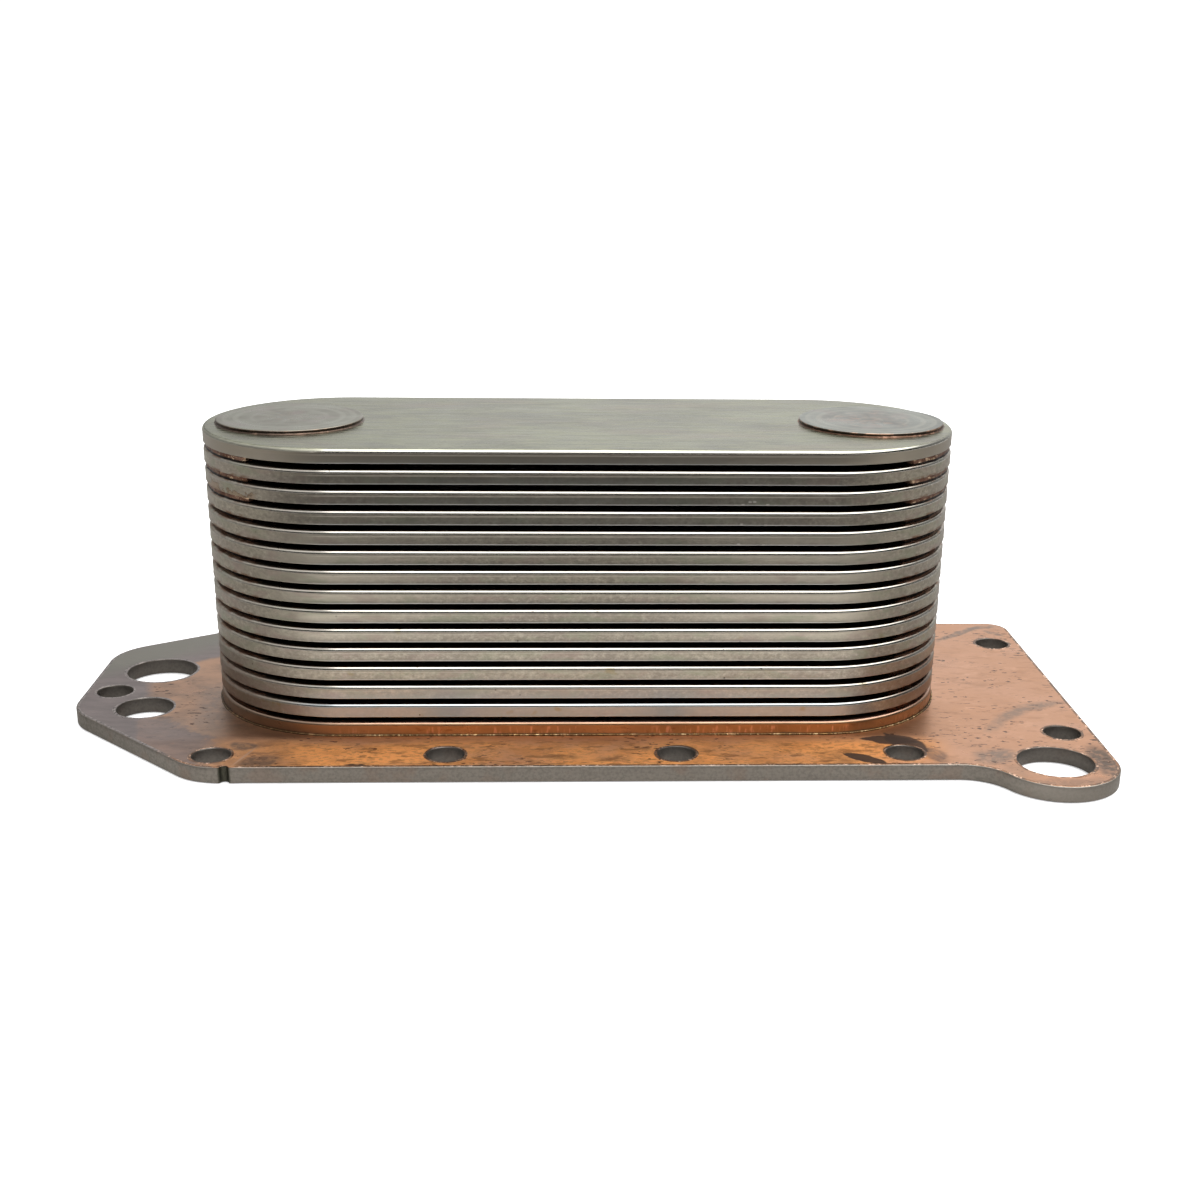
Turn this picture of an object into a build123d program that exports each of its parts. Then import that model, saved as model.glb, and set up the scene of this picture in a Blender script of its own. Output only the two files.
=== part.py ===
"""Brazed stacked-plate oil cooler core on a flat mounting plate.

Millimetres, +Z up. The origin is on the underside of the mounting plate, midway
between the two oil ports; +X runs along the stack, towards the plate's lobed corner.
"""
from build123d import *
import os

# ---- mounting plate -------------------------------------------------------------
PLATE_THICKNESS = 4.0
PLATE_RIGHT_X = 127.5
PLATE_LEFT_X = -128.5
PLATE_FRONT_Y = -53.5
PLATE_BACK_Y = 54.5
TAPER_START_X = -91.0          # where the long edges turn in towards the left end
TAPER_FRONT_Y = -16.0          # left edge, front corner before rounding
TAPER_BACK_Y = 30.0            # left edge, back corner before rounding
TAPER_CORNER_RADIUS = 15.0
BACK_CORNER_RADIUS = 6.0
PLATE_EDGE_CHAMFER = 0.3

LOBE_CENTRE = (112.5, -52.0)
LOBE_RADIUS = 15.0             # tangent to the plate's right edge
LOBE_BLEND_RADIUS = 12.0

NOTCH_X = -83.3                # half-round locating mark in the front edge
NOTCH_RADIUS = 1.0

# ---- holes in the mounting plate ------------------------------------------------
BOLT_HOLE_RADIUS = 4.5         # M8 clearance
BOLT_PITCH = 55.0
BOLT_ROW_FIRST_X = -87.5
BOLTS_PER_ROW = 4
FRONT_BOLT_Y = -46.0
BACK_BOLT_Y = 47.0
RIGHT_BOLTS = [(119.5, -33.5), (119.5, 35.5)]
LEFT_BOLT = (-121.0, -2.5)
LOBE_PASSAGE_RADIUS = 9.0
LEFT_BACK_PASSAGE = (-112.5, 13.5)
LEFT_BACK_PASSAGE_RADIUS = 9.0
LEFT_FRONT_PASSAGE = (-110.5, -14.5)
LEFT_FRONT_PASSAGE_RADIUS = 7.0
OIL_PORT_RADIUS = 15.0
OIL_PORT_X = 72.5

# ---- stack of hollow elements ---------------------------------------------------
ELEMENT_COUNT = 15
ELEMENT_PITCH = 4.8
ELEMENT_HEIGHT = 3.35
ELEMENT_END_RADIUS = 34.0      # half the element's width
ELEMENT_END_X = 59.0           # centre of each rounded end
SHEET = 0.6
LID_BEND_RADIUS = 0.9
LID_INNER_BEND_RADIUS = 0.3
PAN_RIM_HEIGHT = 2.4
ELEMENT_PORT_RADIUS = 14.0

# ---- corrugated turbulator inside each element ----------------------------------
FIN_SHEET = 0.25
FIN_EDGE_GAP = 0.6             # from the pan's inner wall
FIN_PORT_RADIUS = 16.5
FIN_WAVE_PITCH = 8.0
FIN_STRIPS = 5

# ---- port spacers between elements ----------------------------------------------
SPACER_EDGE_INSET = 1.3        # behind the rim of the elements
SPACER_OUTER_RADIUS = 27.0     # about the port's centre

# ---- discs that close the top element's ports ------------------------------------
DISC_RADIUS = 18.0
DISC_THICKNESS = 1.0
DISC_EDGE_CHAMFER = 0.12
LEFT_DISC_X = -72.0
RIGHT_DISC_X = 73.0

GAP = ELEMENT_PITCH - ELEMENT_HEIGHT
STACK_TOP_Z = PLATE_THICKNESS + (ELEMENT_COUNT - 1) * ELEMENT_PITCH + ELEMENT_HEIGHT


def element_base_z(index):
    """Underside of an element; 0 is the one on the mounting plate."""
    return PLATE_THICKNESS + index * ELEMENT_PITCH


def stadium(end_radius):
    """Long outline with round ends, about the same two centres for every radius."""
    return SlotCenterToCenter(2 * ELEMENT_END_X, 2 * end_radius)


def port_circles(radius):
    return Sketch() + [Pos(x, 0) * Circle(radius) for x in (-OIL_PORT_X, OIL_PORT_X)]


def bolt_centres():
    row_x = [BOLT_ROW_FIRST_X + i * BOLT_PITCH for i in range(BOLTS_PER_ROW)]
    rows = [(x, y) for y in (FRONT_BOLT_Y, BACK_BOLT_Y) for x in row_x]
    return rows + RIGHT_BOLTS + [LEFT_BOLT]


def plate_outline():
    body = Polygon(
        (TAPER_START_X, PLATE_FRONT_Y),
        (LOBE_CENTRE[0], PLATE_FRONT_Y),
        LOBE_CENTRE,
        (PLATE_RIGHT_X, LOBE_CENTRE[1]),
        (PLATE_RIGHT_X, PLATE_BACK_Y),
        (TAPER_START_X, PLATE_BACK_Y),
        (PLATE_LEFT_X, TAPER_BACK_Y),
        (PLATE_LEFT_X, TAPER_FRONT_Y),
        align=None,
    )
    outline = body + Pos(*LOBE_CENTRE) * Circle(LOBE_RADIUS)

    def corner_near(x, y):
        return outline.vertices().sort_by_distance((x, y, 0))[0]

    outline = fillet(corner_near(PLATE_RIGHT_X, PLATE_BACK_Y), BACK_CORNER_RADIUS)
    outline = fillet(corner_near(LOBE_CENTRE[0] - LOBE_RADIUS, PLATE_FRONT_Y), LOBE_BLEND_RADIUS)
    for x, y in (
        (TAPER_START_X, PLATE_FRONT_Y),
        (TAPER_START_X, PLATE_BACK_Y),
        (PLATE_LEFT_X, TAPER_BACK_Y),
        (PLATE_LEFT_X, TAPER_FRONT_Y),
    ):
        outline = fillet(corner_near(x, y), TAPER_CORNER_RADIUS)
    return outline


def base_plate():
    """Flat steel plate; the outer edge is broken all round on its top side."""
    plate = extrude(plate_outline(), PLATE_THICKNESS)
    top_rim = plate.faces().sort_by(Axis.Z)[-1].outer_wire().edges()
    plate = chamfer(top_rim, PLATE_EDGE_CHAMFER)
    holes = Sketch() + [Pos(x, y) * Circle(BOLT_HOLE_RADIUS) for x, y in bolt_centres()]
    holes += Pos(*LOBE_CENTRE) * Circle(LOBE_PASSAGE_RADIUS)
    holes += Pos(*LEFT_BACK_PASSAGE) * Circle(LEFT_BACK_PASSAGE_RADIUS)
    holes += Pos(*LEFT_FRONT_PASSAGE) * Circle(LEFT_FRONT_PASSAGE_RADIUS)
    holes += Pos(NOTCH_X, PLATE_FRONT_Y) * Circle(NOTCH_RADIUS)
    holes += port_circles(OIL_PORT_RADIUS)
    return plate - extrude(holes, PLATE_THICKNESS)


def element_lid():
    """Upper plate: flat top, rounded bend and a flange turned down all round."""
    outer = extrude(stadium(ELEMENT_END_RADIUS), ELEMENT_HEIGHT)
    outer = fillet(outer.faces().sort_by(Axis.Z)[-1].edges(), LID_BEND_RADIUS)
    inner = extrude(stadium(ELEMENT_END_RADIUS - SHEET), ELEMENT_HEIGHT - SHEET)
    inner = fillet(inner.faces().sort_by(Axis.Z)[-1].edges(), LID_INNER_BEND_RADIUS)
    ports = extrude(port_circles(ELEMENT_PORT_RADIUS), ELEMENT_HEIGHT)
    return outer - inner - ports


def element_pan():
    """Lower plate, nested in the lid's flange, with its own rim turned up."""
    pan_radius = ELEMENT_END_RADIUS - SHEET
    outer = extrude(stadium(pan_radius), PAN_RIM_HEIGHT)
    hollow = Pos(0, 0, SHEET) * extrude(stadium(pan_radius - SHEET), PAN_RIM_HEIGHT)
    ports = extrude(port_circles(ELEMENT_PORT_RADIUS), SHEET)
    return outer - hollow - ports


def fin_wave(height, half_width, shift):
    """One strip's cross-section: a square wave of thin sheet, drawn in its own XY plane."""
    flat = FIN_WAVE_PITCH / 2
    half_waves = 2 * int(2 * half_width / FIN_WAVE_PITCH + 2)
    start = -half_waves * flat / 2 + shift
    upper_side = []
    lower_side = []
    for i in range(half_waves):
        left = start + i * flat
        right = left + flat + FIN_SHEET
        if i % 2:
            upper_side += [(left, height), (right, height)]
            lower_side += [(left + FIN_SHEET, height - FIN_SHEET), (right - FIN_SHEET, height - FIN_SHEET)]
        else:
            upper_side += [(left + FIN_SHEET, FIN_SHEET), (right - FIN_SHEET, FIN_SHEET)]
            lower_side += [(left, 0), (right, 0)]
    return Polygon(*upper_side, *reversed(lower_side), align=None)


def element_fin():
    """Offset-strip turbulator: rows of square waves, each row a quarter wave on."""
    height = ELEMENT_HEIGHT - 2 * SHEET
    fin_radius = ELEMENT_END_RADIUS - 2 * SHEET - FIN_EDGE_GAP
    half_length = ELEMENT_END_X + fin_radius
    strip_length = 2 * half_length / FIN_STRIPS
    blank = extrude(stadium(fin_radius) - port_circles(FIN_PORT_RADIUS), height)
    strips = []
    for i in range(FIN_STRIPS):
        wave = fin_wave(height, fin_radius, (i % 2) * FIN_WAVE_PITCH / 4)
        place = Plane(origin=(-half_length + i * strip_length, 0, 0), x_dir=(0, 1, 0), z_dir=(1, 0, 0))
        strips.append(extrude(place * wave, strip_length, dir=(1, 0, 0)) & blank)
    fin = Part() + strips
    return max(fin.solids(), key=lambda piece: piece.volume)


def port_spacer(side):
    """Plate that joins two elements round one port; side is -1 left, 1 right."""
    port_x = side * OIL_PORT_X
    outline = stadium(ELEMENT_END_RADIUS - SPACER_EDGE_INSET) & (Pos(port_x, 0) * Circle(SPACER_OUTER_RADIUS))
    return extrude(outline - Pos(port_x, 0) * Circle(ELEMENT_PORT_RADIUS), GAP)


def end_disc(centre_x):
    disc = extrude(Circle(DISC_RADIUS), DISC_THICKNESS)
    disc = chamfer(disc.faces().sort_by(Axis.Z)[-1].edges(), DISC_EDGE_CHAMFER)
    return Pos(centre_x, 0, STACK_TOP_Z) * disc


def save(shape, node):
    export_step(shape, f"parts/{node}.step")


os.makedirs("parts", exist_ok=True)

save(base_plate(), "base_plate")

lid = element_lid()
pan = element_pan()
fin = element_fin()
for index in range(ELEMENT_COUNT):
    base_z = element_base_z(index)
    number = f"{index + 1:02d}"
    save(Pos(0, 0, base_z) * lid, f"element_{number}_lid")
    save(Pos(0, 0, base_z) * pan, f"element_{number}_pan")
    save(Pos(0, 0, base_z + SHEET) * fin, f"element_{number}_turbulator")

gap_base_z = [element_base_z(index) + ELEMENT_HEIGHT for index in range(ELEMENT_COUNT - 1)]
for node, side in (("left_port_spacers", -1), ("right_port_spacers", 1)):
    spacer = port_spacer(side)
    save(Compound(children=[Pos(0, 0, z) * spacer for z in gap_base_z]), node)

save(end_disc(LEFT_DISC_X), "left_end_disc")
save(end_disc(RIGHT_DISC_X), "right_end_disc")
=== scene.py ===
import functools
import math

import bmesh
import bpy
import numpy as np
from mathutils import Matrix, Vector, noise
from mathutils.geometry import delaunay_2d_cdt


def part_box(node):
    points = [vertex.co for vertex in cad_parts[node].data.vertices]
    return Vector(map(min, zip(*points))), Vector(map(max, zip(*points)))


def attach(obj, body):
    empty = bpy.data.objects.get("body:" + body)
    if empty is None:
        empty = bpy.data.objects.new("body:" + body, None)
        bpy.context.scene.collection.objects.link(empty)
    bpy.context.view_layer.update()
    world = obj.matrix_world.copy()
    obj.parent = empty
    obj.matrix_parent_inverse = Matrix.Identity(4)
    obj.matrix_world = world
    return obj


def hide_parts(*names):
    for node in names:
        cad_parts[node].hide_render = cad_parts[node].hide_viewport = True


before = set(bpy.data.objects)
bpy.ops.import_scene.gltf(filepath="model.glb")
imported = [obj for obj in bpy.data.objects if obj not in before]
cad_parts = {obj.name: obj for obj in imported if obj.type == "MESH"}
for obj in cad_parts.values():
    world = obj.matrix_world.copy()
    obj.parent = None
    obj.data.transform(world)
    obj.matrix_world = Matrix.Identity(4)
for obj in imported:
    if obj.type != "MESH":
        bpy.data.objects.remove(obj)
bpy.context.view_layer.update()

scene = bpy.context.scene

MM = 0.001

# ---- places read from the frame (metres) ----
plate_low, plate_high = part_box("base_plate")
PLATE_TOP = plate_high.z
first_low, first_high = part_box("element_01_lid")
second_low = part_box("element_02_lid")[0]
top_low, top_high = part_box("element_15_lid")
ELEMENT_COUNT = 15
PITCH = second_low.z - first_low.z
HEIGHT = first_high.z - first_low.z
GAP = PITCH - HEIGHT
END_RADIUS = first_high.y
END_X = first_high.x - END_RADIUS
STACK_TOP = top_high.z
disc_low, disc_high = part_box("left_end_disc")
DISC_RADIUS = (disc_high.x - disc_low.x) / 2

# ---- shapes that the frame's boxes don't give ----
PORT_X = 72.5 * MM
ELEMENT_PORT_RADIUS = 14 * MM
OIL_PORT_RADIUS = 15 * MM
SHEET = 0.6 * MM
SPACER_RADIUS = 27 * MM
SPACER_INSET = 1.3 * MM

PLATE_TAPER_X = -91 * MM
PLATE_TAPER_FRONT_Y = -16 * MM
PLATE_TAPER_BACK_Y = 30 * MM
PLATE_FRONT_Y = -53.5 * MM
TAPER_CORNER_RADIUS = 15 * MM
BACK_CORNER_RADIUS = 6 * MM
LOBE_CENTRE = (112.5 * MM, -52 * MM)
LOBE_RADIUS = 15 * MM
LOBE_BLEND_RADIUS = 12 * MM
BOLT_RADIUS = 4.5 * MM
BOLTS = [((-87.5 + 55 * i) * MM, y * MM) for y in (-46, 47) for i in range(4)]
BOLTS += [(119.5 * MM, -33.5 * MM), (119.5 * MM, 35.5 * MM), (-121 * MM, -2.5 * MM)]
PASSAGES = [(LOBE_CENTRE, 9 * MM), ((-112.5 * MM, 13.5 * MM), 9 * MM), ((-110.5 * MM, -14.5 * MM), 7 * MM)]
NOTCH_X = -83.3 * MM
NOTCH_RADIUS = 1.0 * MM


# ---- mesh helpers ----

def ripple(x, y, z, size, seed):
    """Smooth noise from -1 to 1 whose bumps are about size mm across; x, y and z are in metres."""
    size = size * MM
    return noise.noise(Vector((x / size + seed * 17.3, y / size - seed * 5.1, z / size + seed)))


def staggered(spacing, columns, rows):
    """Points of a grid whose odd rows are moved on by half a step."""
    return [((i + 0.5 * (j % 2)) * spacing, j * spacing) for i in columns for j in rows]


class Path:
    """A closed loop, counter-clockwise, with the unit normal that points to its inside."""

    def __init__(self, points, step, finer=lambda x, y: 1.0):
        """Even steps along the loop; finer(x, y) above 1 packs them closer there."""
        points = np.array(points, float)
        closed = np.vstack([points, points[:1]])
        lengths = np.hypot(*np.diff(closed, axis=0).T)
        lengths *= [finer(x, y) for x, y in points]
        along = np.concatenate([[0.0], np.cumsum(lengths)])
        count = max(12, int(round(along[-1] / step)))
        stops = np.arange(count) * along[-1] / count
        self.points = np.column_stack([np.interp(stops, along, closed[:, i]) for i in (0, 1)])
        tangent = np.roll(self.points, -1, axis=0) - np.roll(self.points, 1, axis=0)
        tangent /= np.hypot(*tangent.T)[:, None]
        self.inward = np.column_stack([-tangent[:, 1], tangent[:, 0]])


def arc(centre, radius, start, end, step=0.25 * MM):
    """Points round part of a circle; angles in degrees."""
    count = max(2, int(abs(math.radians(end - start)) * radius / step))
    angles = np.radians(np.linspace(start, end, count + 1))
    return [(centre[0] + radius * math.cos(a), centre[1] + radius * math.sin(a)) for a in angles]


def stadium(radius):
    return arc((END_X, 0), radius, -90, 90) + arc((-END_X, 0), radius, 90, 270)


def circle(centre, radius):
    return arc(centre, radius, 0, 360)[:-1]


def unit(vector):
    return vector / np.hypot(*vector)


def rounded_corner(before, corner, after, radius):
    """Points of the arc that replaces a corner between two straight edges."""
    corner = np.array(corner)
    to_before, to_after = unit(before - corner), unit(after - corner)
    half = math.acos(np.clip(np.dot(to_before, to_after), -1, 1)) / 2
    centre = corner + unit(to_before + to_after) * radius / math.sin(half)
    ends = [corner + way * radius / math.tan(half) - centre for way in (to_before, to_after)]
    start, stop = [math.degrees(math.atan2(*end[::-1])) for end in ends]
    sweep = (stop - start + 180) % 360 - 180
    return arc(centre, radius, start, start + sweep)


class Builder:
    """Collects points and faces of one piece, then makes its object."""

    def __init__(self):
        self.points = []
        self.faces = []
        self.slots = []

    def add(self, points):
        first = len(self.points)
        self.points += [tuple(p) for p in points]
        return list(range(first, len(self.points)))

    def bridge(self, lower, upper, slot=0):
        """Quads between two closed rows of the same length."""
        count = len(lower)
        for i in range(count):
            j = (i + 1) % count
            self.faces.append((lower[i], lower[j], upper[j], upper[i]))
            self.slots.append(slot)

    def sweep(self, path, profile, slots=None, closed=False):
        """Rows of points round a path. profile(i) gives [(inset, z), ...] at the path's point i."""
        sections = np.array([profile(i) for i in range(len(path.points))])
        rows = []
        for j in range(sections.shape[1]):
            xy = path.points + path.inward * sections[:, j, 0:1]
            rows.append(self.add(np.column_stack([xy, sections[:, j, 1]])))
        for j in range(len(rows) - 1):
            self.bridge(rows[j], rows[j + 1], slots[j] if slots else 0)
        if closed:
            self.bridge(rows[-1], rows[0], slots[-1] if slots else 0)
        return rows

    def cap(self, outer, holes=(), inner_points=(), facing=1, slot=0):
        """Triangles between an outer row and hole rows; inner_points are extra (x, y, z) inside."""
        loops = [outer, *holes]
        extra = self.add(inner_points)
        used = [i for loop in loops for i in loop] + extra
        flat = [Vector(self.points[i][:2]) for i in used]
        edges = []
        start = 0
        for loop in loops:
            edges += [(start + i, start + (i + 1) % len(loop)) for i in range(len(loop))]
            start += len(loop)
        found, _, triangles, sources, _, _ = delaunay_2d_cdt(flat, edges, [], 1, 1e-9)
        outlines = [np.array([self.points[i][:2] for i in loop]) for loop in holes]
        for triangle in triangles:
            middle = sum((found[i] for i in triangle), Vector((0, 0))) / 3
            if any(inside(outline, middle) for outline in outlines):
                continue
            ids = [used[sources[i][0]] for i in triangle]
            self.faces.append(tuple(ids if facing > 0 else reversed(ids)))
            self.slots.append(slot)

    def tube(self, centre, radius, top, bottom):
        """Wall of a round hole; gives its upper and its lower row."""
        ring = Path(circle(centre, radius), 1.5 * MM)
        upper, lower = [self.add([(x, y, z) for x, y in ring.points]) for z in (top, bottom)]
        self.bridge(upper, lower)
        return upper, lower

    def make(self, name, materials, node=None, sharp=40):
        """The piece's object, on the root body; node is the CAD node that it stands for."""
        mesh = bpy.data.meshes.new(name)
        mesh.from_pydata(self.points, [], self.faces)
        for material in materials:
            mesh.materials.append(material)
        mesh.polygons.foreach_set("material_index", self.slots)
        mesh.validate()
        outward = bmesh.new()
        outward.from_mesh(mesh)
        bmesh.ops.recalc_face_normals(outward, faces=outward.faces)
        outward.to_mesh(mesh)
        outward.free()
        mesh.shade_smooth()
        mesh.set_sharp_from_angle(angle=math.radians(sharp))
        piece = bpy.data.objects.new(name, mesh)
        scene.collection.objects.link(piece)
        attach(piece, "root")
        if node:
            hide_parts(node)


def inside(outline, point):
    """Whether a point lies inside a closed outline."""
    x, y = outline[:, 0], outline[:, 1]
    next_x, next_y = np.roll(x, -1), np.roll(y, -1)
    crosses = (y > point[1]) != (next_y > point[1])
    with np.errstate(divide="ignore", invalid="ignore"):
        at = x + (point[1] - y) / (next_y - y) * (next_x - x)
    return bool(np.count_nonzero(crosses & (point[0] < at)) % 2)


# ---- material helpers ----

class Graph:
    """Short names for building the nodes of one world or material."""

    def __init__(self, owner, coordinates, scale):
        owner.use_nodes = True
        self.tree = owner.node_tree
        place = self.add("ShaderNodeTexCoord").outputs[coordinates]
        self.place = self.vector("MULTIPLY", place, (scale, scale, scale))
        self.x, self.y, self.z = self.split(self.place)

    def add(self, kind, **settings):
        node = self.tree.nodes.new(kind)
        for key, value in settings.items():
            setattr(node, key, value)
        return node

    def feed(self, value, target):
        """Link or set an input; (value, low, high) on an input that takes a number means band()."""
        if isinstance(value, tuple) and target.type == "VALUE":
            value = self.band(*value)
        if isinstance(value, bpy.types.NodeSocket):
            self.tree.links.new(value, target)
        elif target.type == "RGBA":
            target.default_value = (*value, 1)
        else:
            target.default_value = value

    def vector(self, operation, *values):
        node = self.add("ShaderNodeVectorMath", operation=operation)
        for value, target in zip(values, node.inputs):
            self.feed(value, target)
        return node.outputs[0]

    def split(self, vector):
        node = self.add("ShaderNodeSeparateXYZ")
        self.feed(vector, node.inputs[0])
        return node.outputs

    def math(self, operation, *values):
        node = self.add("ShaderNodeMath", operation=operation)
        for value, target in zip(values, node.inputs):
            self.feed(value, target)
        return node.outputs[0]

    def plus(self, *values):
        return functools.reduce(lambda a, b: self.math("ADD", a, b), values)

    def minus(self, a, b):
        return self.math("SUBTRACT", a, b)

    def away(self, value, centre=0.0):
        """How far a value is from a centre, on either side."""
        return self.math("ABSOLUTE", self.minus(value, centre))

    def times(self, *values):
        return functools.reduce(lambda a, b: self.math("MULTIPLY", a, b), values)

    def most(self, *values):
        return functools.reduce(lambda a, b: self.math("MAXIMUM", a, b), values)

    def length(self, a, b):
        return self.math("SQRT", self.plus(self.times(a, a), self.times(b, b)))

    def band(self, value, low, high, to_low=0.0, to_high=1.0):
        """Smooth step of a value between two limits; low may be above high."""
        node = self.add("ShaderNodeMapRange", interpolation_type="SMOOTHSTEP")
        if low > high:
            low, high, to_low, to_high = high, low, to_high, to_low
        self.feed(value, node.inputs["Value"])
        for key, number in (("From Min", low), ("From Max", high), ("To Min", to_low), ("To Max", to_high)):
            node.inputs[key].default_value = number
        return node.outputs["Result"]

    def mix(self, factor, a, b):
        node = self.add("ShaderNodeMix", data_type="RGBA")
        for value, socket in ((factor, 0), (a, 6), (b, 7)):
            self.feed(value, node.inputs[socket])
        return node.outputs[2]


class Surface(Graph):
    """One procedural material, lengths in mm; paint() lays one tint after another on its colour."""

    def __init__(self, name, metallic=1.0):
        self.material = bpy.data.materials.new(name)
        super().__init__(self.material, "Object", 1 / MM)
        self.shader = self.tree.nodes["Principled BSDF"]
        self.shader.inputs["Metallic"].default_value = metallic
        self.colour = None

    def paint(self, tint, *masks):
        self.colour = self.mix(self.times(*masks), self.colour, tint)

    def mapped(self, size, shift, place=None, stretch=(1, 1, 1), skew=(1, 0.7, 1.3)):
        """The place, moved by shift and counted in bumps of size mm."""
        node = self.add("ShaderNodeMapping")
        self.feed(place or self.place, node.inputs["Vector"])
        node.inputs["Location"].default_value = [shift * k for k in skew]
        node.inputs["Scale"].default_value = [1 / (size * s) for s in stretch]
        return node.outputs[0]

    def cloud(self, vector, detail, rough=0.5):
        node = self.add("ShaderNodeTexNoise")
        self.feed(vector, node.inputs["Vector"])
        for key, value in (("Scale", 1.0), ("Detail", detail), ("Roughness", rough)):
            node.inputs[key].default_value = value
        return node.outputs

    def noise(self, size, detail=3, rough=0.5, stretch=(1, 1, 1), shift=0.0, place=None):
        """Noise whose bumps are about size mm across, longer by stretch along each axis."""
        return self.cloud(self.mapped(size, shift, place, stretch), detail, rough)["Fac"]

    def dots(self, size, radius, amount, shift, place=None):
        """Scattered round dots, one in each cell of about size mm; radius is in cells."""
        node = self.add("ShaderNodeTexVoronoi")
        node.inputs["Scale"].default_value = 1.0
        self.feed(self.mapped(size, shift, place), node.inputs["Vector"])
        near = self.band(node.outputs["Distance"], radius, radius * 0.5)
        chance = self.split(node.outputs["Color"])[0]
        return self.times(near, self.math("LESS_THAN", chance, amount))

    def warped(self, size, strength, shift):
        """The place, pushed about by noise, for ragged outlines."""
        colour = self.cloud(self.mapped(size, shift, skew=(1, 1, 1)), 3)["Color"]
        centred = self.vector("SUBTRACT", colour, (0.5, 0.5, 0.5))
        return self.vector("MULTIPLY_ADD", centred, (strength, strength, strength), self.place)

    def spot(self, x, y, length, width, angle=0.0, soft=0.3, place=None, pointed=False):
        """An ellipse on the plate, 1 inside and 0 outside; pointed makes it a leaf."""
        node = self.add("ShaderNodeMapping", vector_type="TEXTURE")
        self.feed(place or self.place, node.inputs["Vector"])
        node.inputs["Location"].default_value = (x, y, 0)
        node.inputs["Rotation"].default_value = (0, 0, math.radians(angle))
        node.inputs["Scale"].default_value = (length / 2, width / 2, 1)
        along, across, _ = self.split(node.outputs[0])
        if pointed:
            size = self.plus(self.away(across), self.times(along, along))
        else:
            size = self.length(along, across)
        return self.band(size, 1 + soft, 1 - soft)

    def finish(self, roughness, height=None, height_mm=0.02, strength=0.9):
        self.feed(self.colour, self.shader.inputs["Base Color"])
        self.feed(roughness, self.shader.inputs["Roughness"])
        if height is not None:
            bump = self.add("ShaderNodeBump")
            bump.inputs["Strength"].default_value = strength
            bump.inputs["Distance"].default_value = height_mm * MM
            self.feed(height, bump.inputs["Height"])
            self.feed(bump.outputs[0], self.shader.inputs["Normal"])
        return self.material


# ---- materials ----

STEEL = (0.475, 0.425, 0.34)
STEEL_DARK = (0.3, 0.265, 0.215)
STEEL_VIOLET = (0.43, 0.375, 0.315)
BRAZE_BROWN = (0.13, 0.058, 0.032)
COPPER = (0.63, 0.335, 0.2)
COPPER_ORANGE = (1, 0.475, 0.16)
COPPER_BRIGHT = (0.84, 0.6, 0.4)
BARE_STEEL = (0.225, 0.19, 0.182)


def lid_heights(g):
    """Height in mm above the underside of whichever element a point is on, and depth below its top."""
    from_first = g.minus(g.z, first_low.z / MM - 0.2)
    level = g.minus(g.math("FLOORED_MODULO", from_first, PITCH / MM), 0.2)
    return level, g.minus(HEIGHT / MM, level)


def lid_wear_and_painted_light(g, level, drop, burnish_and_highlight):
    """Bands along a lid's bend and flange: a lighter bend, partly burnished and partly a painted highlight;
    a painted reflection line under it; paler and darker bands of painted reflection; a painted highlight on
    the lip.
    """
    straight = g.band(g.away(g.x), 68, 58)
    bend = g.times((drop, 0.95, 0.75), (drop, -0.1, 0.2))
    # bend painted lighter: partly burnished steel, partly a painted highlight
    g.paint((0.56, 0.545, 0.495), bend, g.most(burnish_and_highlight, 0.5), 0.75)
    # painted reflection: a dark line just under the bend
    g.paint((0.18, 0.155, 0.13), (drop, 1.25, 1.12), (drop, 0.88, 1), straight, 0.5)
    # darker middle of the upper elements, partly an oxide layer and partly a painted reflection
    oxide_and_reflection = g.times((g.z, 44, 66), (g.z, 76, 68, 0.55, 1), (g.away(g.x, -6), 82, 20))
    g.paint((0.235, 0.235, 0.205), (drop, 1.45, 1.75), (level, 0.1, 0.3), oxide_and_reflection, 0.75)
    # painted reflection: a paler band down the flange
    pale_reflection_band = g.times((drop, 1.58, 1.42), (drop, 1.12, 1.26), straight)
    g.paint((0.72, 0.655, 0.565), pale_reflection_band, 0.85, (g.z, 36, 62, 0.25, 1))
    # painted highlight: a bright line along the lip
    lip = g.times((level, 0.27, 0.17), (level, -0.03, 0.05), straight)
    g.paint((0.74, 0.74, 0.71), lip, (g.z, 20, 60, 0.5, 0.9))


def burnish_and_highlight_span(g, start_x):
    """Part of the outline where the bend is burnished and painted with a highlight, up to the right-hand
    end.
    """
    return g.times((g.x, start_x, -58.5), (g.x, 96, 84))


# Spatter: element, x, height above the element's underside (mm)
SPECKS = ((13, 37.6, 0.2), (13, 39.2, 0.85), (13, 40.3, 0.9), (13, 43.4, 0.2), (12, 37.4, 0.3),
          (12, 43.1, 0.1), (11, 36.9, 0.3), (11, 42.8, 0.1))


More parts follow.
